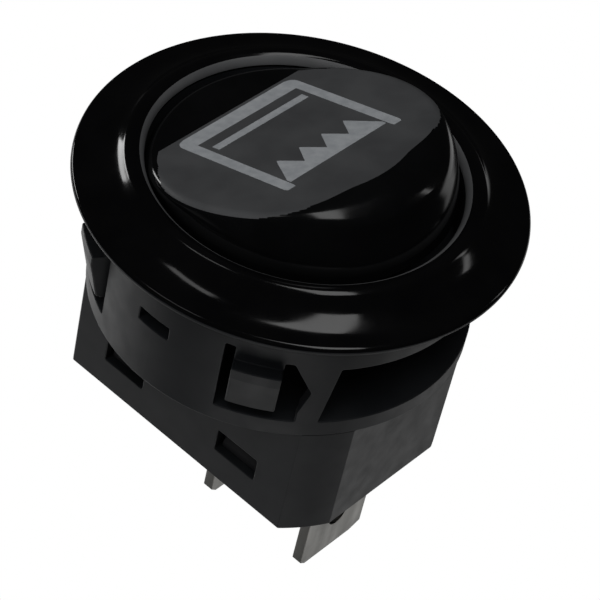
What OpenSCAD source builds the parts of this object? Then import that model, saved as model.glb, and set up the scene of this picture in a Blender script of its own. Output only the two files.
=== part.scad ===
// Round-bezel rocker switch: snap-in panel mounting, single pole, two blade terminals.
// Millimetres, +Z out of the panel, origin at the centre of the flange's seat on the panel.
// X runs along the rocker's travel and the body's long side, Y along the rocker's pivot.
// The rocker is drawn with its -X end pressed, which closes the contacts.

/* [Bezel] */
// Outside diameter of the flange
flange_d = 29.8; // [28.8:0.2:33]
// Height of the flange's outer edge over the panel
flange_edge_h = 0.5; // [0.4:0.05:0.7]
// Rounding of the flange's top edge
flange_edge_r = 0.35; // [0.2:0.05:0.4]
// Height of the collar's crest over the panel
collar_h = 2; // [1.8:0.05:2.3]
// Radius of the collar's rolled crest
collar_r = 0.8; // [0.6:0.05:0.9]

/* [Skirt] */
// Diameter of the skirt that passes through the panel
skirt_d = 25.7; // [25.2:0.1:26.5]
// Height of the skirt below the panel's face
skirt_h = 9.5; // [9.2:0.1:10]
// Thickness of the skirt's wall
skirt_wall = 1.3; // [1:0.05:1.4]
// Thickness of the floor under the rocker
floor_t = 0.9; // [0.7:0.05:1.2]
// Thickness of the roof over the contacts
roof_t = 1.3; // [1:0.05:1.6]
// Thickness of the walls round the stem
tower_wall = 1.2; // [0.8:0.05:1.6]

/* [Skirt openings] */
// Width of the end windows at their top
window_w = 14.2; // [12:0.1:14.6]
// Extra width of the end windows at their bottom, each side
window_flare = 0.6; // [0:0.05:0.7]
// Depth of the end windows' top below the panel's face
window_top = 3.5; // [3.2:0.1:4]
// Width of the slot in the middle of each long side
side_slot_w = 2.5; // [1.5:0.1:4]
// Height of that slot
side_slot_h = 1; // [0.6:0.05:1.4]
// Depth of that slot's middle below the panel's face
side_slot_z = 4.4; // [4.2:0.1:5]

/* [Latches] */
// Angle of each latch from the X axis
latch_angle = 57; // [55:0.5:60]
// Width of a latch
latch_w = 3.2; // [2.6:0.05:3.4]
// How far a latch stands out of the skirt at its shoulder
latch_proud = 0.9; // [0.5:0.05:1.2]
// How far it stands out at its lower end
latch_toe = 0.25; // [0.1:0.05:0.4]
// Thickest panel that the latches take
panel_grip = 3.7; // [3.4:0.1:3.9]
// Height of a latch's barb
latch_len = 3.6; // [3.2:0.05:3.7]
// Width of the slot round a latch
latch_slot = 0.65; // [0.4:0.05:0.8]
// Reach of the pointed pocket beside a latch
pocket_w = 1.95; // [1.2:0.05:2.1]

/* [Body] */
// Length of the lower block
body_l = 23.2; // [22.6:0.1:24]
// Width of the lower block
body_w = 16.6; // [16:0.1:17.5]
// Depth of the body below the panel's face
body_depth = 18.8; // [18:0.1:20]
// Thickness of the block's walls
body_wall = 1.4; // [1.2:0.05:1.6]
// Step between the skirt and the block's rounded corners
corner_step = 0.1; // [0.05:0.01:0.3]

/* [Base] */
// Thickness of the base
base_t = 2.7; // [2.2:0.1:3]
// Depth of the recess in its underside
base_recess = 0.8; // [0.4:0.1:1]
// Gap between pieces that are fixed together
fit_gap = 0.06; // [0.03:0.01:0.12]
// Distance of the base's clips from the middle
clip_x = 5.15; // [4.6:0.05:5.6]
// Width of a clip
clip_w = 3.2; // [2.4:0.1:3.6]
// Height of a clip's window
clip_h = 1.8; // [1.6:0.1:2.4]
// Thickness of a clip's arm
clip_arm = 1.1; // [0.8:0.05:1.3]
// How far a clip reaches into its window
clip_bite = 0.9; // [0.6:0.05:1.1]

/* [Rocker] */
// Diameter of the rocker
rocker_d = 20.1; // [19.8:0.1:20.3]
// Width of the rocker's main facet
facet_w = 19.7; // [18.6:0.1:19.7]
// Radius of the rocker's ends about the pivot
rocker_end_r = 10.05; // [9.95:0.05:10.15]
// Gap between the rocker and the collar
rocker_gap = 0.3; // [0.25:0.05:0.45]
// Thickness of the rocker's shell
rocker_wall = 1.4; // [1:0.05:1.7]
// Angle between the two positions
rocker_travel = 17.5; // [14:0.5:18]
// Depth of the pivot below the panel's face
pivot_depth = 0.7; // [0.6:0.05:1]
// Distance of the top's crease from the middle
crease_x = 6.3; // [4.5:0.1:6.8]
// Height of the crease over the pivot
crease_h = 3.35; // [3.2:0.05:4.2]
// Blend radius of the crease
crease_r = 3; // [2:0.5:12]
// Height of the shell's lower edge over the pivot
rocker_lip = 0.3; // [0.1:0.05:0.5]
// Radius of the trunnions
trunnion_r = 1.2; // [1:0.05:1.3]
// How far a trunnion enters its bearing
trunnion_l = 1.2; // [0.8:0.05:1.3]
// Running clearance of pivots and sliding pieces
run_gap = 0.06; // [0.04:0.01:0.09]

/* [Stem and plunger] */
// Outside radius of the stem
stem_r = 2.4; // [2.2:0.05:2.6]
// Length of the stem below the pivot
stem_l = 7; // [6.4:0.1:7.2]
// Radius of the plunger
plunger_r = 1.5; // [1.4:0.05:1.6]
// Length of the plunger inside the stem
plunger_grip = 2.2; // [1.6:0.1:3]
// Radius of the plunger's tip
tip_r = 1.1; // [1:0.05:1.2]
// Clearance of the tip over the lever's dip
tip_gap = 0.2; // [0.18:0.02:0.3]
// Length of the spring
spring_l = 6.6; // [6:0.1:7]
// Diameter of the spring's wire
spring_wire = 0.4; // [0.3:0.02:0.44]
// Number of turns of the spring
spring_turns = 8; // [6:1:10]

/* [Contacts] */
// Thickness of the contact lever
lever_t = 0.8; // [0.6:0.05:0.9]
// Width of the contact lever
lever_w = 4.4; // [3.8:0.1:4.5]
// Angle that the lever turns through
lever_throw = 20; // [16:0.5:21]
// Slope of the dip that the plunger rides in
dip_angle = 15; // [14:0.5:16]
// Length of each side of the dip
dip_l = 2.7; // [2.4:0.1:3]
// Radius of the lever's pivot pins
lever_pin_r = 0.6; // [0.5:0.05:0.7]
// Distance from the fulcrum to the moving contact
contact_x = 7; // [6.6:0.1:7.2]
// Distance from the fulcrum to the lever's idle end
idle_x = 5.4; // [4.8:0.1:6]
// Radius of the contacts
contact_r = 1.6; // [1.3:0.05:1.8]
// Height of the contacts
contact_h = 0.85; // [0.7:0.05:1]
// Height of a contact's domed face
contact_dome = 0.3; // [0.25:0.01:0.4]
// Radius of a contact's shank
shank_r = 0.8; // [0.6:0.05:1]
// Height and overhang of a contact's upset head
upset = 0.4; // [0.3:0.05:0.5]
// Gap left between the closed contacts
rest_gap = 0.1; // [0.08:0.01:0.15]
// How far the lever reaches past its contact
lever_end = 0.3; // [0.2:0.05:0.5]
// Clearance between the lifted lever and the roof
roof_gap = 0.1; // [0.08:0.01:0.2]

/* [Terminals] */
// Width of a blade
tab_w = 6.3; // [6.1:0.05:6.5]
// Thickness of a blade
tab_t = 0.8; // [0.7:0.05:0.85]
// Length of a blade below the body
tab_l = 9.2; // [8:0.1:10]
// Distance between the two blades
tab_pitch = 8.6; // [8.2:0.1:8.8]
// Chamfer of a blade's tip corners
tab_chamfer = 0.8; // [0.5:0.1:1.5]
// Diameter of the detent hole in a blade
tab_hole = 1.7; // [1.2:0.1:2]
// Distance of that hole from the tip
tab_hole_up = 3.7; // [3:0.1:4]
// Thickness of the yoke that carries the lever
yoke_t = 0.7; // [0.5:0.05:0.8]
// Width of the yoke's arms
yoke_w = 3; // [2.6:0.1:3.4]
// How far the arms reach below the fulcrum
yoke_l = 2.4; // [2:0.1:2.8]
// How far the arms stand above the fulcrum
yoke_h = 0.5; // [0.4:0.05:0.6]

/* [Hidden] */
$fn = 48;

big = 60;
over = 0.5;
flange_r = flange_d / 2;
skirt_r = skirt_d / 2;
skirt_in = skirt_r - skirt_wall;
rocker_r = rocker_d / 2;
half_travel = rocker_travel / 2;
half_throw = lever_throw / 2;
opening_r = max(rocker_r, rocker_end_r) + rocker_gap;

// The concave sweep from the flange up to the collar's crest, which it just cuts into
crest_x = opening_r + collar_r;
crest_z = collar_h - collar_r;
sweep_x = flange_r - flange_edge_r - crest_x;
sweep_z = crest_z - flange_edge_h;
sweep_in = collar_r - 0.06;
sweep_r = (sweep_x * sweep_x + sweep_z * sweep_z - sweep_in * sweep_in) / (2 * (sweep_in + sweep_z));
sweep_top = crest_z + sweep_in * (sweep_r - sweep_z) / (sweep_r + sweep_in);

// The bowl clears the rocker's pressed end and its pivot bosses
boss_r = trunnion_r + 0.2;
lip_dip = rocker_r * sin(half_travel) - rocker_lip * cos(half_travel);
bowl_depth = pivot_depth + max(lip_dip + 0.4, boss_r + 0.2);
floor_z = -bowl_depth - floor_t;
bearing_r = trunnion_r + run_gap;
trunnion_end = opening_r + trunnion_l;

// The rocker's side is turned about the pivot, so that its ends clear the collar as it tilts
facet_d = (crease_h + crease_x * tan(half_travel)) * cos(half_travel);
barrel_c = (rocker_end_r * rocker_end_r - facet_d * facet_d - facet_w * facet_w / 4)
           / (2 * (rocker_end_r - facet_d));
barrel_r = rocker_end_r - barrel_c;

// The chamber clears the stem in both positions
stem_swing = stem_l * sin(half_travel);
chamber_l = 2 * (stem_r + stem_swing + 0.6);
chamber_w = 2 * (stem_r + 0.5);
stem_top = crease_h + crease_x * tan(half_travel) - rocker_wall / 2;
bore_r = plunger_r + run_gap;
bore_top = -stem_l + plunger_grip + spring_l + 0.1;

// Heights of the contacts, from the base upwards
base_top = -body_depth + base_t;
fixed_top = base_top + tab_t + contact_h;
dome_r = (contact_r * contact_r + contact_dome * contact_dome) / (2 * contact_dome);
arm_mid = dip_l * sin(dip_angle);
arm_x = dip_l * cos(dip_angle);
arm_low = arm_mid - lever_t / 2;
dome_z = arm_low - contact_h + dome_r;
touch_x = contact_x * cos(half_throw) + dome_z * sin(half_throw);
touch_z = dome_z * cos(half_throw) - contact_x * sin(half_throw) - dome_r;
fulcrum_z = fixed_top + rest_gap - touch_z;
stop_z = fulcrum_z + arm_low * cos(half_throw) - idle_x * sin(half_throw) - 0.2;

// The roof clears the lever's contact end as it lifts
arm_top = arm_mid + lever_t / 2;
tail_x = contact_x + contact_r + lever_end;
head_x = contact_x + shank_r + upset;
head_rise = head_x * sin(half_throw) + (arm_top + upset) * cos(half_throw);
tail_rise = tail_x * sin(half_throw) + arm_top * cos(half_throw);
roof_under = max(-skirt_h, fulcrum_z + max(head_rise, tail_rise) + roof_gap);
roof_z = roof_under + roof_t;

// The plunger reaches down to the lever's dip
dip_top = lever_t / 2 / cos(dip_angle);
tip_rise = tip_r / cos(dip_angle) - tip_r;
tip_reach = -pivot_depth - fulcrum_z - dip_top - tip_rise - tip_gap;

clip_z = base_top - 0.3;
clip_y = body_w / 2 - body_wall - fit_gap;
yoke_in = tab_w / 2 - yoke_t;

// Draws a profile given as (x, z) and runs it along Y
module along_y(length) {
  rotate([90, 0, 0]) linear_extrude(length, center = true) children();
}

// Draws a profile given as (y, z) and runs it along +X
module along_x(length) {
  rotate([90, 0, 90]) linear_extrude(length) children();
}

// Repeats a piece in all four quadrants
module four() {
  for (sx = [0, 1]) {
    for (sy = [0, 1]) {
      mirror([sx, 0, 0]) mirror([0, sy, 0]) children();
    }
  }
}

// Puts a piece in the rocker's own frame, with the pivot as origin
module at_rocker() {
  translate([0, 0, -pivot_depth]) rotate([0, -half_travel, 0]) children();
}

// Puts a piece in the lever's own frame, with the fulcrum as origin
module at_lever() {
  translate([0, 0, fulcrum_z]) rotate([0, half_throw, 0]) children();
}

// Outline of the lower block, inset from its outer walls
module body_outline(inset) {
  intersection() {
    square([body_l - 2 * inset, body_w - 2 * inset], center = true);
    circle(skirt_r - corner_step - inset);
  }
}

// Section of everything that is turned about Z, as (radius, height)
module housing_section() {
  translate([opening_r, 0]) square([flange_r - opening_r, flange_edge_h - flange_edge_r]);
  translate([opening_r, 0]) square([flange_r - flange_edge_r - opening_r, flange_edge_h]);
  translate([flange_r - flange_edge_r, flange_edge_h - flange_edge_r]) circle(flange_edge_r, $fn = 24);
  translate([opening_r, 0]) square([collar_r, crest_z]);
  translate([crest_x, crest_z]) circle(collar_r, $fn = 24);
  difference() {
    translate([crest_x, 0]) square([sweep_x, sweep_top]);
    translate([crest_x + sweep_x, flange_edge_h + sweep_r]) circle(sweep_r, $fn = 72);
  }
  translate([opening_r, floor_z]) square([skirt_r - opening_r, over - floor_z]);
  translate([0, floor_z]) square([skirt_r, floor_t]);
  translate([skirt_in, -skirt_h]) square([skirt_wall, skirt_h - bowl_depth]);
  translate([0, -skirt_h]) square([skirt_r, roof_z + skirt_h]);
}

// Barb of one latch, standing out of the skirt
module latch_barb() {
  half_angle = asin(latch_w / 2 / skirt_r);
  rotate([0, 0, latch_angle - half_angle])
    rotate_extrude(angle = 2 * half_angle)
      polygon([[skirt_in + 0.2, -panel_grip - latch_len], [skirt_r + latch_toe, -panel_grip - latch_len],
               [skirt_r + latch_proud, -panel_grip - 0.8], [skirt_r + latch_proud, -panel_grip],
               [skirt_in + 0.2, -panel_grip]]);
}

// U-shaped slot round one latch, with the pointed pocket on the side of the end window
module latch_slot() {
  edge = latch_w / 2;
  out = edge + latch_slot;
  far = -edge - pocket_w * 0.7;
  slot_top = -panel_grip + 1;
  low = -panel_grip - latch_len - 0.1;
  slot_low = min(roof_z, low - latch_slot);
  rotate([0, 0, latch_angle])
    translate([skirt_in - 1, 0, 0])
      along_x(skirt_wall + 3)
        polygon([[out, slot_top], [edge, slot_top], [edge, low], [-edge, low], [-edge, slot_top - 0.5],
                 [-edge - 0.6, slot_top - 0.5], [-edge - pocket_w, slot_top - 2.9], [far, low],
                 [far, slot_low], [out, slot_low]]);
}

// Openings in the skirt and in the lower block
module housing_cuts() {
  for (side = [0, 1]) {
    mirror([side, 0, 0])
      translate([skirt_in - 2.6, 0, 0])
        along_x(skirt_wall + 4)
          polygon([[-window_w / 2, -window_top], [window_w / 2, -window_top],
                   [window_w / 2 + window_flare, roof_z], [-window_w / 2 - window_flare, roof_z]]);
    mirror([0, side, 0])
      translate([0, skirt_r, -side_slot_z])
        cube([side_slot_w, 2 * skirt_wall + 0.4, side_slot_h], center = true);
    mirror([0, side, 0])
      translate([0, -opening_r + 1, -pivot_depth])
        rotate([90, 0, 0])
          cylinder(h = 1 + trunnion_l + 0.3, r = bearing_r);
  }
  four() {
    latch_slot();
    translate([clip_x, body_w / 2 - body_wall / 2, clip_z + clip_h / 2])
      cube([clip_w + 0.3, body_wall + 1, clip_h], center = true);
  }
  translate([-chamber_l / 2, -chamber_w / 2, -skirt_h - 1])
    cube([chamber_l, chamber_w, skirt_h + 1.2 - bowl_depth]);
  translate([0, 0, -body_depth - 1])
    linear_extrude(body_depth + 1 + roof_under)
      body_outline(body_wall);
}

// Flange, collar, skirt with latches, and the lower block in one moulding
module housing() {
  color([0.06, 0.06, 0.07])
    difference() {
      union() {
        rotate_extrude() housing_section();
        translate([0, 0, -skirt_h])
          linear_extrude(skirt_h + floor_z + floor_t / 2)
            square([chamber_l + 2 * tower_wall, chamber_w + 2 * tower_wall], center = true);
        translate([0, 0, -body_depth])
          linear_extrude(body_depth - skirt_h + roof_t / 2)
            body_outline(0);
        four() latch_barb();
      }
      housing_cuts();
    }
}

// Clip on the base that snaps into a window of the block
module base_clip() {
  translate([clip_x - clip_w / 2, 0, 0])
    along_x(clip_w) {
      translate([clip_y - clip_arm, base_top - over]) square([clip_arm, clip_h + over]);
      polygon([[clip_y - over, clip_z + 0.1], [clip_y + clip_bite, clip_z + 0.1],
               [clip_y + clip_bite, clip_z + 0.5], [clip_y, clip_z + clip_h - 0.2],
               [clip_y - over, clip_z + clip_h - 0.2]]);
    }
}

// Bottom closure that holds the blades, with the lever's idle stop
module base() {
  color([0.10, 0.10, 0.11])
    difference() {
      union() {
        translate([0, 0, -body_depth]) linear_extrude(base_t) body_outline(body_wall + fit_gap);
        four() base_clip();
        translate([-idle_x - 0.6, -lever_w / 2, base_top - over])
          cube([1.8, lever_w, stop_z - base_top + over]);
      }
      difference() {
        translate([0, 0, -body_depth - 1]) linear_extrude(base_recess + 1) body_outline(body_wall + 1.3);
        for (x = [0, tab_pitch]) {
          translate([x, 0, -body_depth]) cube([tab_t + 2.4, tab_w + 2.4, 4], center = true);
        }
      }
      for (x = [0, tab_pitch]) {
        translate([x, 0, -body_depth]) cube([tab_t + 2 * fit_gap, tab_w + 2 * fit_gap, big], center = true);
      }
    }
}

// Region below the rocker's creased top, lowered by drop, as (x, z) in the rocker's frame
module below_top(low, drop) {
  run = 20;
  rise = tan(half_travel);
  top = crease_h - drop;
  blend_x = crease_r * sin(half_travel);
  blend_z = crease_r / cos(half_travel);
  along_y(big) {
    polygon([[-run, low], [run, low], [run, top + (run + crease_x) * rise],
             [-crease_x, top], [-run, top + (run - crease_x) * rise]]);
    translate([-crease_x, top])
      difference() {
        polygon([[-blend_x, blend_x * rise], [0, -over], [blend_x, blend_x * rise]]);
        translate([0, blend_z - 0.02]) circle(crease_r, $fn = 96);
      }
  }
}

// The rocker's outer form, or its hollow when inset by the wall
module rocker_form(inset, low, drop) {
  intersection() {
    cylinder(h = big, r = rocker_r - inset, center = true);
    rotate([90, 0, 0])
      rotate_extrude($fn = 72)
        intersection() {
          translate([barrel_c, 0]) circle(barrel_r - inset, $fn = 72);
          translate([0, -big / 2]) square([big, big]);
        }
    below_top(low, drop);
  }
}

// Rocker with its stem, trunnions and plunger bore in one moulding
module rocker() {
  color([0.05, 0.05, 0.055])
    at_rocker()
      difference() {
        union() {
          difference() {
            rocker_form(0, rocker_lip, 0);
            rocker_form(rocker_wall, rocker_lip - 1, rocker_wall);
          }
          translate([0, 0, -stem_l]) cylinder(h = stem_l + stem_top, r = stem_r);
          for (side = [0, 1]) {
            mirror([0, side, 0])
              translate([0, -rocker_r + rocker_wall + 0.6, 0])
                rotate([90, 0, 0]) {
                  cylinder(h = rocker_wall + 0.3, r = boss_r);
                  cylinder(h = trunnion_end - rocker_r + rocker_wall + 0.6, r = trunnion_r);
                }
          }
        }
        translate([0, 0, -stem_l - 1]) cylinder(h = stem_l + 1 + bore_top, r = bore_r);
      }
}

// Sprung follower with a domed tip
module plunger() {
  color([0.85, 0.83, 0.76])
    at_rocker()
      rotate_extrude($fn = 32) {
        intersection() {
          translate([0, -tip_reach + tip_r]) circle(tip_r, $fn = 32);
          translate([0, -tip_reach]) square([tip_r, tip_r]);
        }
        translate([0, -tip_reach + tip_r]) square([tip_r, tip_reach - tip_r - stem_l]);
        translate([0, -stem_l - 0.8]) square([plunger_r, plunger_grip + 0.8]);
        translate([0, -stem_l]) square([spring_wire * 2, plunger_grip + 0.9]);
      }
}

// Point at angle a round the wire at turn t of a helix
function helix_point(t, a, radius, pitch, wire) =
  let (r = radius + wire / 2 * cos(a))
  [r * cos(360 * t), r * sin(360 * t), pitch * t + wire / 2 * sin(a)];

// Helical spring of round wire, standing on z = 0
module helix(radius, length, turns, wire) {
  per_turn = 16;
  sides = 6;
  steps = turns * per_turn;
  pitch = (length - wire) / turns;
  points = [for (i = [0:steps]) for (k = [0:sides - 1])
            helix_point(i / per_turn, 360 * k / sides, radius, pitch, wire) + [0, 0, wire / 2]];
  walls = [for (i = [0:steps - 1]) for (k = [0:sides - 1])
           let (a = i * sides, b = a + sides, next = (k + 1) % sides)
           [a + k, a + next, b + next, b + k]];
  first = [for (k = [sides - 1:-1:0]) k];
  last = [for (k = [0:sides - 1]) steps * sides + k];
  polyhedron(points, concat(walls, [first, last]));
}

// Spring that pushes the plunger out of the stem
module plunger_spring() {
  color([0.70, 0.71, 0.73])
    at_rocker()
      translate([0, 0, -stem_l + plunger_grip + 0.03])
        helix(bore_r - spring_wire / 2 - 0.1, spring_l, spring_turns, spring_wire);
}

// Section of the lever as (x, z) about its fulcrum
module lever_section() {
  for (side = [0, 1]) {
    mirror([side, 0]) {
      rotate(dip_angle) translate([0, -lever_t / 2]) square([dip_l, lever_t]);
      translate([arm_x, arm_mid]) circle(lever_t / 2);
    }
  }
  circle(lever_t / 2);
  translate([arm_x, arm_low]) square([tail_x - arm_x, lever_t]);
  translate([-idle_x, arm_low]) square([idle_x - arm_x, lever_t]);
}

// See-saw strip that carries the moving contact
module contact_lever() {
  color([0.80, 0.58, 0.28])
    at_lever()
      difference() {
        union() {
          along_y(lever_w) lever_section();
          for (side = [0, 1]) {
            mirror([0, side, 0])
              translate([0, (lever_t - lever_w) / 2, 0])
                rotate([90, 0, 0])
                  cylinder(h = (tab_w - lever_w + lever_t) / 2 + yoke_t * 0.3, r = lever_pin_r);
          }
        }
        translate([contact_x, 0, 0]) cylinder(h = 4, r = shank_r + fit_gap / 2);
      }
}

// Rivet contact standing on its domed face, with a shank through a sheet and a head upset behind it
module contact(sheet, head) {
  rotate_extrude($fn = 32) {
    intersection() {
      translate([0, dome_r]) circle(dome_r, $fn = 96);
      square([contact_r, contact_dome]);
    }
    translate([0, contact_dome]) square([contact_r, contact_h - contact_dome]);
    translate([0, contact_h / 2]) square([shank_r, contact_h / 2 + sheet + head / 2]);
    if (head > 0) {
      translate([0, contact_h + sheet]) square([shank_r + head, head]);
    }
  }
}

// Contact on the lever, face down
module moving_contact() {
  color([0.86, 0.85, 0.82])
    at_lever()
      translate([contact_x, 0, arm_low - contact_h])
        contact(lever_t, upset);
}

// Outline of a blade as (y, z), from its tip up to top
module blade_outline(top) {
  tip = -body_depth - tab_l;
  w = tab_w / 2;
  c = tab_chamfer;
  difference() {
    polygon([[-w, top], [-w, tip + c], [c - w, tip], [w - c, tip], [w, tip + c], [w, top]]);
    translate([0, tip + tab_hole_up]) circle(d = tab_hole, $fn = 32);
  }
}

// Stamped blade with a thinned tip, standing at x = 0
module blade(top) {
  tip = -body_depth - tab_l;
  t = tab_t / 2;
  intersection() {
    translate([-t, 0, 0]) along_x(tab_t) blade_outline(top);
    along_y(tab_w + 1)
      polygon([[-t, top], [-t, tip + tab_chamfer], [-t / 2, tip],
               [t / 2, tip], [t, tip + tab_chamfer], [t, top]]);
  }
}

// Middle blade with the yoke that the lever rocks in
module common_terminal() {
  seat_r = lever_pin_r + run_gap;
  color([0.80, 0.79, 0.75]) {
    blade(fulcrum_z - yoke_l / 2);
    for (side = [0, 1]) {
      mirror([0, side, 0])
        translate([0, -yoke_in - yoke_t / 2, fulcrum_z])
          along_y(yoke_t)
            difference() {
              translate([-yoke_w / 2, -yoke_l]) square([yoke_w, yoke_l + yoke_h]);
              circle(seat_r);
              translate([-seat_r, 0]) square([2 * seat_r, 2 * yoke_h]);
            }
    }
  }
}

// End blade, bent inwards over the base to carry the fixed contact
module load_terminal() {
  bend_r = tab_t;
  reach = tab_pitch - touch_x + contact_r + 0.5;
  color([0.80, 0.79, 0.75])
    translate([tab_pitch, 0, 0])
      difference() {
        union() {
          blade(base_top + tab_t);
          translate([-reach, -lever_w / 2, base_top]) cube([reach, lever_w, tab_t]);
        }
        translate([tab_t / 2 - bend_r, 0, base_top + tab_t - bend_r])
          along_y(tab_w + 1)
            difference() {
              square(2 * bend_r);
              circle(bend_r);
            }
        translate([touch_x - tab_pitch, 0, base_top - 1]) cylinder(h = 4, r = shank_r + fit_gap / 2);
      }
}

// Contact on the end blade, face up
module fixed_contact() {
  color([0.86, 0.85, 0.82])
    translate([touch_x, 0, fixed_top])
      mirror([0, 0, 1])
        contact(tab_t, 0);
}

housing();
base();
rocker();
plunger();
plunger_spring();
contact_lever();
moving_contact();
common_terminal();
load_terminal();
fixed_contact();
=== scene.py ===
"""Looks of a round-bezel rocker switch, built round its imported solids.

Shapes are drawn in millimetres and kept in metres.
"""
import math

import bmesh
import bpy
from mathutils import Matrix, Vector


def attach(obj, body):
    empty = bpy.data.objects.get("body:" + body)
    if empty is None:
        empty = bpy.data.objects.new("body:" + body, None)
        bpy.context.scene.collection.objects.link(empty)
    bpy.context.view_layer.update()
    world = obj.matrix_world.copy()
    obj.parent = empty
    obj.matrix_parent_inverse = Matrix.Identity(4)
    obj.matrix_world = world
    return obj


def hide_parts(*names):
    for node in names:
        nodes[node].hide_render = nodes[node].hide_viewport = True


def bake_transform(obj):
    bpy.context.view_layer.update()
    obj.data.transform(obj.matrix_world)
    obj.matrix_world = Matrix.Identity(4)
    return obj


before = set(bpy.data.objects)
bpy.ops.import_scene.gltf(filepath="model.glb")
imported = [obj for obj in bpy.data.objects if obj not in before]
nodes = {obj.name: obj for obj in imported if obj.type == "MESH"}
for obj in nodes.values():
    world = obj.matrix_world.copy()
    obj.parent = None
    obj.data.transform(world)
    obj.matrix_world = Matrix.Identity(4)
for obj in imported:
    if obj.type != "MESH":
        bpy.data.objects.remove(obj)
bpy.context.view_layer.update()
scene = bpy.context.scene

MM = 0.001
FULL_TURN = 2 * math.pi
QUARTER_TURN = math.pi / 2

# Sizes in millimetres, as in the source of the solids
FLANGE_R = 14.9
FLANGE_EDGE_H = 0.5
FLANGE_EDGE_R = 0.35
COLLAR_H = 2.0
COLLAR_R = 0.8
SKIRT_R = 12.85
SKIRT_WALL = 1.3
SKIRT_H = 9.5
FLOOR_T = 0.9
ROOF_T = 1.3
TOWER_WALL = 1.2
WINDOW_W = 14.2
WINDOW_FLARE = 0.6
WINDOW_TOP = 3.5
SIDE_SLOT_W = 2.5
SIDE_SLOT_H = 1.0
SIDE_SLOT_Z = 4.4

LATCH_ANGLE = math.radians(57)
LATCH_W = 3.2
LATCH_PROUD = 0.9
LATCH_TOE = 0.25
PANEL_GRIP = 3.7
LATCH_LEN = 3.6
LATCH_SLOT = 0.65
POCKET_W = 1.95

BODY_L = 23.2
BODY_W = 16.6
BODY_DEPTH = 18.8
BODY_WALL = 1.4
CORNER_STEP = 0.1
BASE_T = 2.7
CLIP_X = 5.15
CLIP_W = 3.2
CLIP_H = 1.8

ROCKER_R = 10.05
FACET_W = 19.7
ROCKER_END_R = 10.05
ROCKER_GAP = 0.3
ROCKER_WALL = 1.4
TILT = math.radians(8.75)
PIVOT_DEPTH = 0.7
CREASE_X = -6.3
CREASE_H = 3.35
CREASE_R = 3.0
ROCKER_LIP = 0.3
TRUNNION_R = 1.2
TRUNNION_L = 1.2
RUN_GAP = 0.06

STEM_R = 2.4
STEM_L = 7.0
PLUNGER_R = 1.5
PLUNGER_GRIP = 2.2
SPRING_L = 6.6
SPRING_WIRE = 0.4
SPRING_TURNS = 8

# Clearances and steps between those
BOSS_STEP = 0.2
BOSS_GAP = 0.2
LIP_GAP = 0.4
STEM_GAP_X = 0.6
STEM_GAP_Y = 0.5
CLIP_DROP = 0.3
CLIP_GAP = 0.15
BEARING_GAP = 0.3
SPRING_GAP = 0.1
SPRING_LIFT = 0.03

# Sizes that follow from all of them
SKIRT_IN = SKIRT_R - SKIRT_WALL
OPENING_R = max(ROCKER_R, ROCKER_END_R) + ROCKER_GAP
BOSS_R = TRUNNION_R + BOSS_STEP
LIP_DIP = ROCKER_R * math.sin(TILT) - ROCKER_LIP * math.cos(TILT)
BOWL_Z = -PIVOT_DEPTH - max(LIP_DIP + LIP_GAP, BOSS_R + BOSS_GAP)
FLOOR_Z = BOWL_Z - FLOOR_T
ROOF_Z = ROOF_T - SKIRT_H
BEARING_R = TRUNNION_R + RUN_GAP
TRUNNION_END = OPENING_R + TRUNNION_L
CLIP_Z = BASE_T - BODY_DEPTH - CLIP_DROP
FACET_RISE = CREASE_H - CREASE_X * math.tan(TILT)
FACET_D = FACET_RISE * math.cos(TILT)
BARREL_C = (ROCKER_END_R ** 2 - FACET_D ** 2 - FACET_W ** 2 / 4) / (2 * (ROCKER_END_R - FACET_D))
BARREL_R = ROCKER_END_R - BARREL_C
CHAMBER_X = STEM_R + STEM_L * math.sin(TILT) + STEM_GAP_X
CHAMBER_Y = STEM_R + STEM_GAP_Y
STEM_TOP = FACET_RISE - ROCKER_WALL / 2
BORE_R = PLUNGER_R + RUN_GAP
BORE_TOP = PLUNGER_GRIP - STEM_L + SPRING_L + SPRING_GAP
SPRING_FOOT = PLUNGER_GRIP - STEM_L + SPRING_LIFT
SPRING_TOP = SPRING_FOOT + SPRING_L
SPRING_R = BORE_R - SPRING_WIRE / 2 - SPRING_GAP

# Places: the four quadrants, and the rocker's own frame with its pivot as origin
MIRRORS = [Matrix.Diagonal((sx, sy, 1, 1)) for sx in (1, -1) for sy in (1, -1)]
PIVOT_PLACE = Matrix.Translation((0, 0, -PIVOT_DEPTH))
ROCKER_PLACE = PIVOT_PLACE @ Matrix.Rotation(-TILT, 4, "Y")


# Meshes

def make(name, bm):
    """A new object from a bmesh."""
    bmesh.ops.recalc_face_normals(bm, faces=bm.faces)
    mesh = bpy.data.meshes.new(name)
    bm.to_mesh(mesh)
    bm.free()
    ob = bpy.data.objects.new(name, mesh)
    scene.collection.objects.link(ob)
    return ob


def bake(ob):
    """Applies an object's modifiers."""
    depsgraph = bpy.context.evaluated_depsgraph_get()
    shown = ob.evaluated_get(depsgraph)
    mesh = bpy.data.meshes.new_from_object(shown, preserve_all_data_layers=True, depsgraph=depsgraph)
    old = ob.data
    ob.modifiers.clear()
    ob.data = mesh
    mesh.name = ob.name
    bpy.data.meshes.remove(old)


def combine(ob, bm, operation):
    """Adds another solid to an object, or cuts it out."""
    other = make("tool", bm)
    m = ob.modifiers.new("combine", "BOOLEAN")
    m.operation = operation
    m.solver = "EXACT"
    m.object = other
    bake(ob)
    bpy.data.objects.remove(other)


def drop_slivers(ob, size):
    """Dissolves edges shorter than a size and faces without area."""
    bm = bmesh.new()
    bm.from_mesh(ob.data)
    bmesh.ops.dissolve_degenerate(bm, dist=size, edges=bm.edges)
    bm.to_mesh(ob.data)
    bm.free()


def smooth(ob):
    for face in ob.data.polygons:
        face.use_smooth = True


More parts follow.
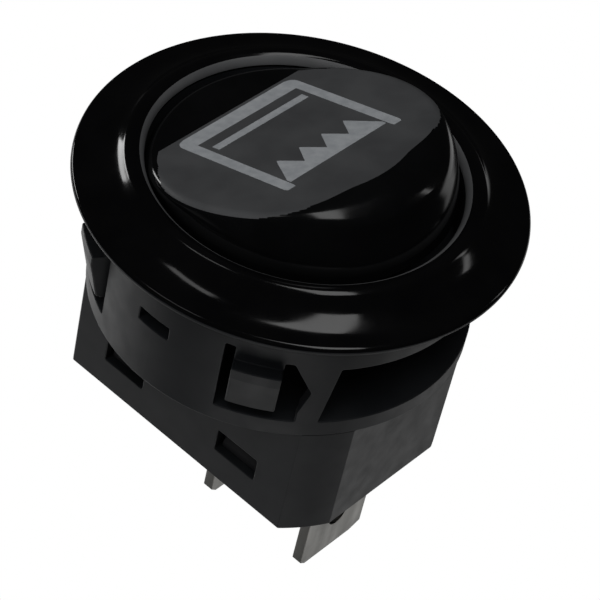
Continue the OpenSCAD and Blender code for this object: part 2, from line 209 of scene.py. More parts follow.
def ease(ob, width, steps, limit=28, merge=True):
    """Rounds an object's edges sharper than a limit, with large faces left true in the shading."""
    bm = bmesh.new()
    bm.from_mesh(ob.data)
    bmesh.ops.remove_doubles(bm, verts=bm.verts, dist=width * 0.12)
    if merge:
        bmesh.ops.dissolve_limit(bm, angle_limit=math.radians(0.4), verts=bm.verts, edges=bm.edges)
    bmesh.ops.dissolve_degenerate(bm, dist=width * 0.1, edges=bm.edges)
    bm.to_mesh(ob.data)
    bm.free()
    smooth(ob)
    m = ob.modifiers.new("ease", "BEVEL")
    m.limit_method = "ANGLE"
    m.angle_limit = math.radians(limit)
    m.width = width
    m.segments = steps
    m.use_clamp_overlap = False
    m.miter_outer = "MITER_ARC"
    m = ob.modifiers.new("shade", "WEIGHTED_NORMAL")
    m.mode = "FACE_AREA"
    m.weight = 50
    bake(ob)


def true_walls(ob, top=-0.5, least_r=9, wander=0.1, flatness=0.9999, roundness=0.98):
    """Shades turned walls as true cylinders and flat walls as flat, past the edges of their openings."""
    mesh = ob.data
    normals = [Vector(n.vector) for n in mesh.corner_normals]
    for face in mesh.polygons:
        spokes = [Vector((*mesh.vertices[i].co.xy, 0)) for i in face.vertices]
        radii = [v.length for v in spokes]
        outward = face.normal.dot(spokes[0].normalized())
        flat = face.center.z < top and max(abs(t) for t in face.normal) > flatness
        even = min(radii) > least_r and max(radii) - min(radii) < wander
        for loop, v in zip(face.loop_indices, spokes):
            if flat:
                normals[loop] = face.normal.copy()
            elif even and abs(outward) > roundness:
                normals[loop] = v.normalized() * math.copysign(1, outward)
    mesh.normals_split_custom_set(normals)


def to_metres(ob):
    ob.data.transform(Matrix.Scale(MM, 4))


def spaced(low, high, steps):
    """Values at even steps from low to high, with both ends."""
    return [low + (high - low) * i / steps for i in range(steps + 1)]


def arc(cx, cz, r, start, end, steps):
    """Points on an arc, with angles in degrees."""
    turns = [math.radians(t) for t in spaced(start, end, steps)]
    return [(cx + r * math.cos(t), cz + r * math.sin(t)) for t in turns]


def prism(outline, start, end, axis="z"):
    """A prism over an outline: (x, y) run along z, or (y, z) run along x."""
    bm = bmesh.new()
    low, high = [], []
    for p, q in outline:
        low.append(bm.verts.new((p, q, start) if axis == "z" else (start, p, q)))
        high.append(bm.verts.new((p, q, end) if axis == "z" else (end, p, q)))
    bm.faces.new(low)
    bm.faces.new(high)
    for i in range(len(outline)):
        bm.faces.new((low[i - 1], low[i], high[i], high[i - 1]))
    return bm


def box(xs, ys, zs):
    """A box from its low and high x, y and z."""
    return prism([(xs[0], ys[0]), (xs[1], ys[0]), (xs[1], ys[1]), (xs[0], ys[1])], *zs)


def lathe(profile, steps, start=0.0, angle=FULL_TURN):
    """A closed profile of (radius, z) turned about z, with one vertex for each point on the axis."""
    bm = bmesh.new()
    whole = angle == FULL_TURN
    count = steps if whole else steps + 1
    axis = {z: bm.verts.new((0, 0, z)) for r, z in profile if r == 0}
    rings = []
    for k in range(count):
        a = start + angle * k / steps
        c, s = math.cos(a), math.sin(a)
        rings.append([bm.verts.new((r * c, r * s, z)) if r else axis[z] for r, z in profile])
    for k in range(steps):
        p, q = rings[k], rings[(k + 1) % count]
        for i in range(len(profile)):
            j = (i + 1) % len(profile)
            corners = list(dict.fromkeys((p[i], q[i], q[j], p[j])))
            if len(corners) > 2:
                bm.faces.new(corners)
    if not whole:
        bm.faces.new(rings[0])
        bm.faces.new(rings[-1])
    return bm


def turned(bm, matrix):
    bmesh.ops.transform(bm, matrix=matrix, verts=bm.verts)
    return bm


def merged(solids):
    """One bmesh of several separate solids."""
    whole = bmesh.new()
    for bm in solids:
        mesh = bpy.data.meshes.new("solid")
        bmesh.ops.recalc_face_normals(bm, faces=bm.faces)
        bm.to_mesh(mesh)
        bm.free()
        whole.from_mesh(mesh)
        bpy.data.meshes.remove(mesh)
    return whole


# Housing: the turned bezel and skirt, the block, the tower and the latches in one moulding

# Steps of turned solids, where the bezel's are chosen so that none falls close to the edge of an opening
BEZEL_STEPS = 228
BARB_STEPS = 12
PIN_STEPS = 40
HOUSING_EASE = 0.09


def bezel_profile(bowl_r=0.25, under_r=0.12, root_r=0.15):
    """Section of what is turned, from the bowl over the collar and flange, down the skirt and inside it."""
    crest_x, crest_z = OPENING_R + COLLAR_R, COLLAR_H - COLLAR_R
    edge_x = FLANGE_R - FLANGE_EDGE_R
    dx, dz = edge_x - crest_x, crest_z - FLANGE_EDGE_H
    sweep_r = (dx ** 2 + dz ** 2 - COLLAR_R ** 2) / (2 * (COLLAR_R + dz))
    lean = math.degrees(math.atan2(sweep_r - dz, dx))
    points = [(STEM_R, BOWL_Z)]
    points += arc(OPENING_R - bowl_r, BOWL_Z + bowl_r, bowl_r, -90, 0, 6)
    points += arc(crest_x, crest_z, COLLAR_R, 180, lean, 26)
    points += arc(edge_x, FLANGE_EDGE_H + sweep_r, sweep_r, 180 + lean, 270, 24)[1:]
    points += arc(edge_x, FLANGE_EDGE_H - FLANGE_EDGE_R, FLANGE_EDGE_R, 82, 0, 8)
    points += arc(FLANGE_R - under_r, under_r, under_r, -22, -90, 4)
    points += arc(SKIRT_R + root_r, -root_r, root_r, 90, 180, 4)
    points += [(SKIRT_R, -SKIRT_H), (STEM_R, -SKIRT_H), (STEM_R, ROOF_Z)]
    points += [(SKIRT_IN, ROOF_Z), (SKIRT_IN, FLOOR_Z), (STEM_R, FLOOR_Z)]
    return points


def block_outline(inset):
    """The block's rectangle with round corners about the middle, inset from its outer walls."""
    x, y, r = BODY_L / 2 - inset, BODY_W / 2 - inset, SKIRT_R - CORNER_STEP - inset
    corner = arc(0, 0, r, math.degrees(math.acos(x / r)), math.degrees(math.asin(y / r)), 10)
    back = corner[::-1]
    right, left = corner + [(-p, q) for p, q in back], [(-p, -q) for p, q in corner]
    return right + left + [(p, -q) for p, q in back]


def latch_barb():
    """Barb of a latch, a little wider than it, so that the slot cuts its sides flush."""
    half = math.asin((LATCH_W / 2 + 0.2) / SKIRT_R)
    root, tip = SKIRT_IN + 0.2, SKIRT_R + LATCH_PROUD
    low = -PANEL_GRIP - LATCH_LEN
    profile = [(root, low), (SKIRT_R + LATCH_TOE, low), (tip, -PANEL_GRIP - 0.8), (tip, -PANEL_GRIP),
               (root, -PANEL_GRIP)]
    return lathe(profile, BARB_STEPS, LATCH_ANGLE - half, 2 * half)


def latch_slot():
    """U-shaped slot round a latch, with the pointed pocket on the side of the end window."""
    side = LATCH_W / 2
    out, far = side + LATCH_SLOT, -side - 0.7 * POCKET_W
    top, low = 1 - PANEL_GRIP, -PANEL_GRIP - LATCH_LEN - 0.1
    latch = [(out, top), (side, top), (side, low), (-side, low)]
    pocket = [(-side, top - 0.5), (-side - 0.6, top - 0.5), (-side - POCKET_W, top - 2.9), (far, low)]
    outline = latch + pocket + [(far, ROOF_Z), (out, ROOF_Z)]
    return turned(prism(outline, SKIRT_IN - 1, SKIRT_R + 2, "x"), Matrix.Rotation(LATCH_ANGLE, 4, "Z"))


def clip_window():
    """Window of the block for a clip of the base."""
    half = CLIP_W / 2 + CLIP_GAP
    y = BODY_W / 2
    return box((CLIP_X - half, CLIP_X + half), (y - BODY_WALL - 0.5, y + 0.5), (CLIP_Z, CLIP_Z + CLIP_H))


def end_window():
    half, low = WINDOW_W / 2, WINDOW_W / 2 + WINDOW_FLARE
    outline = [(-half, -WINDOW_TOP), (half, -WINDOW_TOP), (low, ROOF_Z), (-low, ROOF_Z)]
    return prism(outline, SKIRT_IN - 2.6, SKIRT_R + 1.4, "x")


def side_slot():
    half, reach_y = SIDE_SLOT_W / 2, SKIRT_WALL + 0.2
    low, high = -SIDE_SLOT_Z - SIDE_SLOT_H / 2, -SIDE_SLOT_Z + SIDE_SLOT_H / 2
    return box((-half, half), (SKIRT_R - reach_y, SKIRT_R + reach_y), (low, high))


def bearing(side):
    """Hole for a trunnion."""
    start, end = OPENING_R - 1, TRUNNION_END + BEARING_GAP
    hole = lathe([(0, start), (BEARING_R, start), (BEARING_R, end), (0, end)], PIN_STEPS)
    return turned(hole, PIVOT_PLACE @ Matrix.Rotation(-side * QUARTER_TURN, 4, "X"))


def build_housing():
    ob = make("housing_moulding", lathe(bezel_profile(), BEZEL_STEPS))
    tower_x, tower_y = CHAMBER_X + TOWER_WALL, CHAMBER_Y + TOWER_WALL
    tower = box((-tower_x, tower_x), (-tower_y, tower_y), (-SKIRT_H, FLOOR_Z + FLOOR_T / 2))
    combine(ob, tower, "UNION")
    combine(ob, prism(block_outline(0), -BODY_DEPTH, ROOF_T / 2 - SKIRT_H), "UNION")
    combine(ob, merged([turned(latch_barb(), m) for m in MIRRORS]), "UNION")
    corner_cuts = []
    for m in MIRRORS:
        corner_cuts += [turned(latch_slot(), m), turned(clip_window(), m)]
    combine(ob, merged(corner_cuts), "DIFFERENCE")
    side_cuts = []
    for s in (1, -1):
        side_cuts.append(turned(end_window(), Matrix.Diagonal((s, 1, 1, 1))))
        side_cuts.append(turned(side_slot(), Matrix.Diagonal((1, s, 1, 1))))
        side_cuts.append(bearing(s))
    combine(ob, merged(side_cuts), "DIFFERENCE")
    chamber = box((-CHAMBER_X, CHAMBER_X), (-CHAMBER_Y, CHAMBER_Y), (-SKIRT_H - 1, BOWL_Z + 0.2))
    combine(ob, chamber, "DIFFERENCE")
    combine(ob, prism(block_outline(BODY_WALL), -BODY_DEPTH - 1, -SKIRT_H), "DIFFERENCE")
    ease(ob, HOUSING_EASE, steps=2, limit=21, merge=False)
    true_walls(ob)
    to_metres(ob)
    return ob


def paint_housing(ob, under=0.3, painted_rim_in=0.05, painted_rim_out=0.35, painted_rim_drop=0.65):
    """Gloss over the bezel, a lighter grey rim round its opening that is a painted highlight on the collar's
    inner edge, and satin below the flange and in the bowl.
    """
    for face in ob.data.polygons:
        centre = face.center / MM
        r = math.hypot(centre.x, centre.y)
        if centre.z < under or r < OPENING_R - painted_rim_in:
            face.material_index = 1
        # The collar's inner edge round the opening gets the lighter grey: a painted highlight
        elif r < OPENING_R + painted_rim_out and centre.z > COLLAR_H - painted_rim_drop:
            face.material_index = 2
        else:
            face.material_index = 0


# Rocker: a creased top, a side turned about the pivot, and a rounded edge between them

ROCKER_STEPS = 240
EDGE_STEPS = 12
SIDE_STEPS = 7
CROWN_COLUMNS = 24
STEM_STEPS = 48
ROCKER_MIDDLE = -0.5
SIDE_BLEND = 0.06
SHARP = math.radians(40)
SLIVER = 0.0002

# Radius of the rounded edge at the sides and at the raised end, and the angles from that end between them
EDGE_R = 0.75
END_EDGE_R = 2.7
END_EDGE_FROM = 54
END_EDGE_FULL = 18


def top_z(x):
    """Height of the creased top."""
    d = abs(x - CREASE_X)
    if d < CREASE_R * math.sin(TILT):
        return CREASE_H + CREASE_R / math.cos(TILT) - math.sqrt(CREASE_R ** 2 - d * d)
    return CREASE_H + d * math.tan(TILT)


def inside(x, y, z):
    """How far a point lies inside the rocker's side, which blends its cylinder and its barrel."""
    a = ROCKER_R - math.hypot(x, y)
    b = BARREL_C + math.sqrt(max(BARREL_R ** 2 - y * y, 0)) - math.hypot(x, z)
    low = min(a, b)
    return low - SIDE_BLEND * math.log(math.exp((low - a) / SIDE_BLEND) + math.exp((low - b) / SIDE_BLEND))


def reach(point):
    """Distance along a line, given as a function of it, to the rocker's side."""
    low, high = 0.5, 13.0
    for _ in range(40):
        mid = (low + high) / 2
        if inside(*point(mid)) > 0:
            low = mid
        else:
            high = mid
    return low


def side_normal(p, e=1e-4):
    steps = [Vector(d) * e for d in ((1, 0, 0), (0, 1, 0), (0, 0, 1))]
    return -Vector([inside(*(p + d)) - inside(*(p - d)) for d in steps]).normalized()


def top_normal(x, e=1e-3):
    slope = (top_z(x + e) - top_z(x - e)) / (2 * e)
    return Vector((-slope, 0, 1)).normalized()


def edge_radius(t):
    """Radius of the rocker's rounded edge, which grows towards the middle of its raised end."""
    from_end = abs(math.degrees(math.atan2(math.sin(t), math.cos(t))))
    f = min(max((END_EDGE_FROM - from_end) / (END_EDGE_FROM - END_EDGE_FULL), 0), 1)
    return EDGE_R + (END_EDGE_R - EDGE_R) * f * f * (3 - 2 * f)


def rounded(corner, first_way, second_way, r):
    """Points on the arc that rounds a corner between two directions away from it."""
    angle = first_way.angle(second_way)
    step = r / math.tan(angle / 2)
    centre = corner + (first_way + second_way).normalized() * (r / math.sin(angle / 2))
    first, last = corner + first_way * step - centre, corner + second_way * step - centre
    sweep = first.angle(last)
    turns = spaced(0, sweep, EDGE_STEPS)
    return [centre + (first * math.sin(sweep - a) + last * math.sin(a)) / math.sin(sweep) for a in turns]


def one_wall_in(p):
    return p - Vector((p.x, p.y, 0)).normalized() * ROCKER_WALL


def rocker_line(t):
    """The shell's points at one angle: over its rounded edge, down its side and up its inside."""
    c, s = math.cos(t), math.sin(t)
    if abs(s) < 1e-9:
        s = 0.0

    def on_top(d):
        x = ROCKER_MIDDLE + d * c
        return x, d * s, top_z(x)

    corner = Vector(on_top(reach(on_top)))
    up, out = top_normal(corner.x), side_normal(corner)
    along = up.cross(out).normalized()
    inward, down = along.cross(up), along.cross(out)
    inward = inward if inward.dot(out) < 0 else -inward
    down = down if down.z < 0 else -down
    line = rounded(corner, inward, down, edge_radius(t))
    line[0].z = top_z(line[0].x)
    shoulder = line[-1]
    heading = math.atan2(shoulder.y, shoulder.x)
    for z in spaced(shoulder.z, ROCKER_LIP, SIDE_STEPS)[1:]:
        r = reach(lambda d: (d * math.cos(heading), d * math.sin(heading), z))
        line.append(Vector((r * math.cos(heading), r * math.sin(heading), z)))
    line.append(one_wall_in(line[-1]))
    ceiling = one_wall_in(shoulder)
    line.append(Vector((ceiling.x, ceiling.y, top_z(ceiling.x) - ROCKER_WALL)))
    return line


def close_across(bm, loops, level, drop, satin_and_painted_sheen_rows):
    """Closes the shell in strips from side to side, so that it stays true to the crease."""
    rows = []
    for k in range(ROCKER_STEPS // 2 + 1):
        a, b = loops[k][level], loops[-k % ROCKER_STEPS][level]
        if a is b:
            rows.append([a] * (CROWN_COLUMNS + 1))
            continue
        row = [a]
        for i in range(1, CROWN_COLUMNS):
            v = a.co.lerp(b.co, i / CROWN_COLUMNS)
            row.append(bm.verts.new((v.x, v.y, top_z(v.x) - drop)))
        rows.append(row + [b])
    for k, (p, q) in enumerate(zip(rows, rows[1:])):
        for i in range(CROWN_COLUMNS):
            face = bm.faces.new(list(dict.fromkeys((p[i], p[i + 1], q[i + 1], q[i]))))
            face.material_index = 1 if k < satin_and_painted_sheen_rows else 0


def rocker_shell():
    """The shell in the rocker's own frame, with the satin of its main facet as second material, whose
    lighter grey is partly its finish and partly a painted sheen.
    """
    bm = bmesh.new()
    angles = spaced(0, FULL_TURN, ROCKER_STEPS)[:-1]
    loops = [[bm.verts.new(v) for v in rocker_line(t)] for t in angles]
    crease = min(range(ROCKER_STEPS // 2), key=lambda k: abs(loops[k][0].co.x - CREASE_X))
    # The satin, with its painted sheen, takes in most of the rounded edge at the facet's two sides as a
    # painted light line along that edge, and runs out towards their ends
    most, from_crease, crease_rate, from_end, end_rate = EDGE_STEPS * 0.75, 8, 0.8, 28, 0.6
    for k in range(ROCKER_STEPS):
        a, b = loops[k], loops[(k + 1) % ROCKER_STEPS]
        along = min(k, ROCKER_STEPS - 1 - k)
        satin_and_painted_sheen_rings = min((crease - along - from_crease) * crease_rate, (along - from_end) * end_rate, most)
        for i in range(len(a) - 1):
            face = bm.faces.new((a[i], a[i + 1], b[i + 1], b[i]))
            face.material_index = 1 if i < satin_and_painted_sheen_rings else 0
    close_across(bm, loops, 0, 0, crease)
    close_across(bm, loops, -1, ROCKER_WALL, 0)
    return bm


def stem():
    """Stem with the bore for the spring and the plunger."""
    foot, chamfer = -STEM_L, 0.1
    return lathe([(BORE_R, foot), (STEM_R - chamfer, foot), (STEM_R, foot + chamfer), (STEM_R, STEM_TOP),
                  (0, STEM_TOP), (0, BORE_TOP), (BORE_R, BORE_TOP)], STEM_STEPS)


def trunnion(side):
    """Trunnion with its boss, from inside the shell outwards."""
    root, boss_end, chamfer = ROCKER_R - 2, ROCKER_R - 0.3, 0.1
    boss = [(0, root), (BOSS_R, root), (BOSS_R, boss_end), (TRUNNION_R, boss_end)]
    tip = [(TRUNNION_R, TRUNNION_END - chamfer), (TRUNNION_R - chamfer, TRUNNION_END), (0, TRUNNION_END)]
    return turned(lathe(boss + tip, PIN_STEPS), Matrix.Rotation(-side * QUARTER_TURN, 4, "X"))


def settle(ob):
    """Puts a shape drawn in the rocker's own frame in its place."""
    ob.data.transform(ROCKER_PLACE)
    to_metres(ob)


def build_rocker():
    ob = make("rocker_moulding", rocker_shell())
    for m in (cap, facet_satin_and_painted_sheen):
        ob.data.materials.append(m)
    for solid in (stem(), trunnion(1), trunnion(-1)):
        combine(ob, solid, "UNION")
    drop_slivers(ob, SLIVER)
    smooth(ob)
    ob.data.set_sharp_from_angle(angle=SHARP)
    settle(ob)
    return ob


# Spring behind the plunger: round wire swept along a helix

def build_spring(per_turn=40, sides=12):
    bm = bmesh.new()
    wire_r = SPRING_WIRE / 2
    rings = []
    for i, z in enumerate(spaced(SPRING_FOOT + wire_r, SPRING_TOP - wire_r, per_turn * SPRING_TURNS)):
        turn = Matrix.Rotation(FULL_TURN * i / per_turn, 3, "Z")
        section = arc(SPRING_R, z, wire_r, 0, 360, sides)[:-1]
        rings.append([bm.verts.new(turn @ Vector((r, 0, h))) for r, h in section])
    for p, q in zip(rings, rings[1:]):
        for k in range(sides):
            bm.faces.new((p[k - 1], p[k], q[k], q[k - 1]))
    bm.faces.new(rings[0])
    bm.faces.new(rings[-1])
    ob = make("spring_coil", bm)
    smooth(ob)
    ob.data.set_sharp_from_angle(angle=SHARP)
    settle(ob)
    return ob


# Symbol on the rocker: an oven seen from the front, with its grill, printed on the main facet

SYMBOL_ALONG = 0.14
SYMBOL_ACROSS = 0.11
INK_UP = 0.014
INK_T = 0.03


def add_frame(bm, spot):
    """The oven's outline: a band along the crease with rounded corners, and two legs with cut tips."""
    outer, inner = 5.5, 4.66
    start, band, end = 0.05, 1.25, 9.6
    corner_r, tip, taper = 0.7, 0.2, 0.6
    band_steps, leg_steps = 10, 40
    rows = []
    for u in spaced(start, band, band_steps) + spaced(band, end, leg_steps)[1:]:
        from_corner = max(corner_r - (u - start), 0)
        short = corner_r - math.sqrt(max(corner_r ** 2 - from_corner ** 2, 0))
        cut = max(u - end + tip, 0) * taper
        out, near = outer - short - cut, inner + cut / 2
        rows.append([spot(u, v) for v in (-out, -near, near, out)])
    for i, (p, q) in enumerate(zip(rows, rows[1:])):
        for j in (0, 1, 2) if i < band_steps else (0, 2):
            bm.faces.new((p[j], p[j + 1], q[j + 1], q[j]))


def add_line(bm, spot):
    """The line inside the band."""
    start, end, half = 2.12, 2.72, 4.25
    bm.faces.new([spot(start, -half), spot(start, half), spot(end, half), spot(end, -half)])


def add_grill(bm, spot):
    """Four joined triangles that hang from a bar."""
    top, bar, valley, blunt, point = 9.05, 8.75, 8.05, 6.75, 6.62
    half, pitch, blunt_half = 4.55, 2.1, 0.12
    outline = [(top, -half), (bar, -half)]
    for i in range(4):
        v = pitch * (i - 1.5)
        if i:
            outline.append((valley, v - pitch / 2))
        outline += [(blunt, v - blunt_half), (point, v), (blunt, v + blunt_half)]
    outline += [(bar, half), (top, half)]
    grill = bm.faces.new([spot(u, v) for u, v in outline])
    bmesh.ops.triangulate(bm, faces=[grill])


def build_symbol():
    bm = bmesh.new()

    def spot(u, v):
        """A point of the print, from its place along the facet and across it."""
        x = CREASE_X + (u + SYMBOL_ALONG) * math.cos(TILT)
        return bm.verts.new((x, v + SYMBOL_ACROSS, top_z(x) + INK_UP))

    add_frame(bm, spot)
    add_line(bm, spot)
    add_grill(bm, spot)
    # All faces look up, so that the ink's thickness goes down into the rocker
    for face in bm.faces:
        face.normal_update()
        if face.normal.z < 0:
            face.normal_flip()
    bmesh.ops.solidify(bm, geom=bm.faces[:], thickness=INK_T)
    ob = make("oven_symbol_print", bm)
    settle(ob)
    return ob


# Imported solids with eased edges

def eased_node(name, piece, width):
    """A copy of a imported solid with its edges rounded."""
    ob = bpy.data.objects.new(piece, nodes[name].data.copy())
    scene.collection.objects.link(ob)
    ob.data.transform(Matrix.Scale(1 / MM, 4))
    ob.data.materials.clear()
    ease(ob, width, steps=2)
    to_metres(ob)
    return ob


# Materials

def noise(tree, scale, detail, stretch=(1, 1, 1)):
    """A noise in the object's own space, where scale is in cells per metre."""
    where = tree.nodes.new("ShaderNodeTexCoord")
    mapping = tree.nodes.new("ShaderNodeMapping")
    mapping.inputs["Scale"].default_value = stretch
    out = tree.nodes.new("ShaderNodeTexNoise")
    out.inputs["Scale"].default_value = scale
    out.inputs["Detail"].default_value = detail
    tree.links.new(where.outputs["Object"], mapping.inputs["Vector"])
    tree.links.new(mapping.outputs["Vector"], out.inputs["Vector"])
    return out.outputs["Fac"]


def spread(tree, value, low, high, start=0.3, end=0.7):
    """Maps a value between start and end to a range."""
    out = tree.nodes.new("ShaderNodeMapRange")
    out.inputs["From Min"].default_value = start
    out.inputs["From Max"].default_value = end
    out.inputs["To Min"].default_value = low
    out.inputs["To Max"].default_value = high
    tree.links.new(value, out.inputs["Value"])
    return out.outputs["Result"]


def tones(tree, value, first, second, start=0.35, end=0.65):
    """Maps a noise to a blend of two colours."""
    out = tree.nodes.new("ShaderNodeValToRGB")
    out.color_ramp.elements[0].position = start
    out.color_ramp.elements[1].position = end
    out.color_ramp.elements[0].color = (*first, 1)
    out.color_ramp.elements[1].color = (*second, 1)
    tree.links.new(value, out.inputs["Fac"])
    return out.outputs["Color"]


def relief(tree, value, strength, distance=4e-6):
    out = tree.nodes.new("ShaderNodeBump")
    out.inputs["Strength"].default_value = strength
    out.inputs["Distance"].default_value = distance
    tree.links.new(value, out.inputs["Height"])
    return out.outputs["Normal"]


def finish(name, first, second, rough, metal=0.0, specular=0.5, patch=300, grain=9000, bump=0.1,
           stretch=(1, 1, 1)):
    """A moulded or stamped finish: two close tones in patches, uneven gloss and a fine grain."""
    m = bpy.data.materials.new(name)
    m.use_nodes = True
    tree = m.node_tree
    bsdf = tree.nodes["Principled BSDF"]
    bsdf.inputs["Metallic"].default_value = metal
    bsdf.inputs["Specular IOR Level"].default_value = specular
    tree.links.new(tones(tree, noise(tree, patch, 3), first, second), bsdf.inputs["Base Color"])
    tree.links.new(spread(tree, noise(tree, patch * 2.3, 5, stretch), *rough), bsdf.inputs["Roughness"])
    tree.links.new(relief(tree, noise(tree, grain, 2, stretch), bump), bsdf.inputs["Normal"])
    return m


# Grain of rolled strip, drawn out along z or along x
ROLLED_UP = (1, 1, 0.12)
ROLLED_ALONG = (0.12, 1, 1)

gloss = finish("gloss_black", (0.0014, 0.0014, 0.0016), (0.0022, 0.0022, 0.0024), (0.07, 0.13), bump=0.03)
satin = finish("satin_black", (0.010, 0.011, 0.0125), (0.014, 0.015, 0.0165), (0.42, 0.52),
               specular=0.45, bump=0.25)
# A lighter grey for the collar's inner edge: a painted highlight in place of the line a reflection would
# draw there
painted_crest_highlight = finish("crest_painted_highlight", (0.060, 0.061, 0.063), (0.076, 0.077, 0.079), (0.42, 0.52),
             specular=0.4, bump=0.2)
cap = finish("cap_black", (0.0018, 0.0019, 0.0021), (0.0028, 0.0029, 0.0031), (0.11, 0.17), bump=0.05)
# Satin of the main facet: a real satin finish, in a grey much lighter than the rest of the same moulding,
# which paints in the sheen the facet catches
facet_satin_and_painted_sheen = finish("facet_satin_painted_sheen", (0.042, 0.043, 0.045), (0.056, 0.0575, 0.0595), (0.42, 0.52),
               specular=0.4, patch=260, bump=0.2)
ink = finish("white_ink", (0.23, 0.242, 0.255), (0.28, 0.292, 0.305), (0.5, 0.65), patch=1500, bump=0.2)
sole = finish("base_black", (0.012, 0.012, 0.013), (0.017, 0.017, 0.018), (0.5, 0.62), bump=0.25)
tin = finish("tin_plate", (0.25, 0.246, 0.232), (0.32, 0.314, 0.297), (0.32, 0.46),
             metal=1.0, patch=500, grain=5000, bump=0.15, stretch=ROLLED_UP)
brass = finish("brass_strip", (0.66, 0.46, 0.20), (0.74, 0.53, 0.25), (0.25, 0.4),
               metal=1.0, patch=500, grain=5000, bump=0.12, stretch=ROLLED_ALONG)
silver = finish("contact_silver", (0.74, 0.73, 0.71), (0.83, 0.82, 0.80), (0.18, 0.32), metal=1.0, patch=900)
wire = finish("spring_wire", (0.48, 0.49, 0.51), (0.58, 0.59, 0.61), (0.22, 0.34),
              metal=1.0, patch=900, bump=0.08)
nylon = finish("ivory_nylon", (0.66, 0.62, 0.52), (0.74, 0.70, 0.60), (0.34, 0.46), patch=500, bump=0.12)


# Pieces, each on its body, in place of its node

def place(ob, body, node, slot, *materials):
    for m in materials:
        ob.data.materials.append(m)
    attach(ob, body)
    if node:
        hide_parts(node)
    return ob


paint_housing(place(build_housing(), "body", "housing", "housing_black", gloss, satin, painted_crest_highlight))
place(build_rocker(), "rocker_body", "rocker", "rocker_black")
place(build_symbol(), "rocker_body", None, "ivory", ink)

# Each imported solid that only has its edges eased: its node, piece, easing, body, slot and material
EASED = (
    ("base", "base_moulding", 0.07, "body", "base_black", sole),
    ("common_terminal", "common_blade", 0.05, "body", "tinned", tin),
    ("load_terminal", "load_blade", 0.05, "body", "tinned", tin),
    ("plunger", "plunger_moulding", 0.04, "plunger_body", "ivory", nylon),
    ("contact_lever", "lever_strip", 0.04, "lever_body", "brass", brass),
    ("moving_contact", "lever_rivet", 0.03, "lever_body", "contact_silver", silver),
    ("fixed_contact", "terminal_rivet", 0.03, "body", "contact_silver", silver),
)
for node, piece, width, body, slot, material in EASED:
    place(eased_node(node, piece, width), body, node, slot, material)

# The spring in place of its node, with its place baked into its mesh
spring = build_spring()
spring.data.materials.append(wire)
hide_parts("plunger_spring")
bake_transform(spring)


# Light: a dark room with pale pools on its floor, and soft lamps placed for the highlights

ROOM = 0.008

# Each pool: its direction, its brightness, and the cosines to that direction where it starts and is full
POOLS = (
    ((-0.50, -0.55, -0.67), 0.08, 0.82, 0.93),
    ((0.35, -0.45, -0.82), 0.90, 0.90, 0.98),
    ((0.42, 0.42, -0.80), 0.62, 0.86, 0.97),
    ((-0.70, 0.05, -0.71), 0.95, 0.80, 0.95),
    ((0.08, 0.89, -0.45), 0.42, 0.94, 0.965),
)
LAMP_AWAY = 0.5


def room_light(tree):
    """Brightness of the room and its pools in each direction."""
    where = tree.nodes.new("ShaderNodeTexCoord")
    total = None
    for direction, level, start, full in POOLS:
        facing = tree.nodes.new("ShaderNodeVectorMath")
        facing.operation = "DOT_PRODUCT"
        facing.inputs[1].default_value = Vector(direction).normalized()
        tree.links.new(where.outputs["Generated"], facing.inputs[0])
        pool = spread(tree, facing.outputs["Value"], 0.0, level, start, full)
        add = tree.nodes.new("ShaderNodeMath")
        add.inputs[0].default_value = ROOM
        tree.links.new(pool, add.inputs[1])
        if total:
            tree.links.new(total, add.inputs[0])
        total = add.outputs["Value"]
    return total


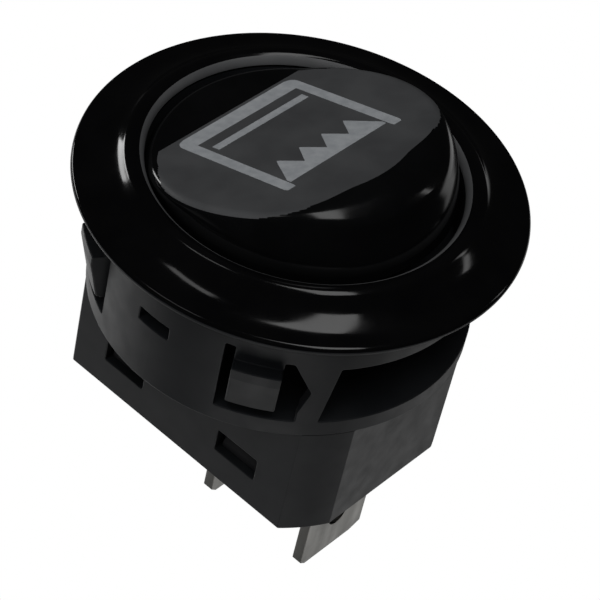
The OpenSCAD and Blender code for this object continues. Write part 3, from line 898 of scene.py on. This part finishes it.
def build_world():
    """The room for light and reflections, and plain white for the camera."""
    world = bpy.data.worlds.new("set")
    world.use_nodes = True
    tree = world.node_tree
    tree.nodes.clear()
    room = tree.nodes.new("ShaderNodeBackground")
    white = tree.nodes.new("ShaderNodeBackground")
    for background in (room, white):
        background.inputs["Color"].default_value = (1, 1, 1, 1)
    tree.links.new(room_light(tree), room.inputs["Strength"])
    path = tree.nodes.new("ShaderNodeLightPath")
    mix = tree.nodes.new("ShaderNodeMixShader")
    out = tree.nodes.new("ShaderNodeOutputWorld")
    tree.links.new(path.outputs["Is Camera Ray"], mix.inputs["Fac"])
    tree.links.new(room.outputs["Background"], mix.inputs[1])
    tree.links.new(white.outputs["Background"], mix.inputs[2])
    tree.links.new(mix.outputs["Shader"], out.inputs["Surface"])
    scene.world = world


def lamp(name, direction, size, radiance, along, glossy=True):
    """A soft lamp that faces the object, with its first side along a direction."""
    data = bpy.data.lights.new(name, "AREA")
    data.shape = "RECTANGLE"
    data.size, data.size_y = size
    data.energy = math.pi * size[0] * size[1] * radiance
    ob = bpy.data.objects.new(name, data)
    z = Vector(direction).normalized()
    y = z.cross(Vector(along)).normalized()
    axes = Matrix((y.cross(z), y, z)).transposed().to_4x4()
    ob.matrix_world = Matrix.Translation(z * LAMP_AWAY) @ axes
    ob.visible_glossy = glossy
    scene.collection.objects.link(ob)


build_world()
lamp("fill", (0.15, -0.25, 1.0), (0.4, 0.4), 3.2, (1, 0, 0), glossy=False)
lamp("front_fill", (-0.15, -0.9, 0.35), (0.4, 0.3), 1.8, (1, 0, 0), glossy=False)
lamp("ceiling_strip", (0.20, 0.10, 0.975), (0.31, 0.12), 2.3, (0.55, -0.30, -0.06))
lamp("right_back", (0.51, 0.78, 0.36), (0.15, 0.035), 1.6, (-0.13, -0.10, 0.37))
lamp("left_window", (-0.97, -0.04, 0.16), (0.22, 0.05), 6.0, (0.06, -0.38, 0.26))
lamp("left_front", (-0.30, -0.21, 0.93), (0.13, 0.05), 1.5, (0.18, 0.10, 0.08))


# Camera, placed as it was fitted to the photograph

CAMERA_AT = (0.068397, -0.102876, 0.109377)
CAMERA_RIGHT = (0.72784375, 0.6646962, 0.16858954)
CAMERA_UP = (-0.56345616, 0.43956955, 0.6994968)
CAMERA_BACK = (0.39084603, -0.60411719, 0.69446512)

camera = bpy.data.cameras.new("camera")
camera.sensor_width = 36
camera.lens = 154.65
camera.clip_start = 0.005
camera_ob = bpy.data.objects.new("camera", camera)
camera_axes = Matrix((CAMERA_RIGHT, CAMERA_UP, CAMERA_BACK)).transposed().to_4x4()
camera_ob.matrix_world = Matrix.Translation(CAMERA_AT) @ camera_axes
scene.collection.objects.link(camera_ob)
scene.camera = camera_ob
scene.view_settings.view_transform = "Standard"
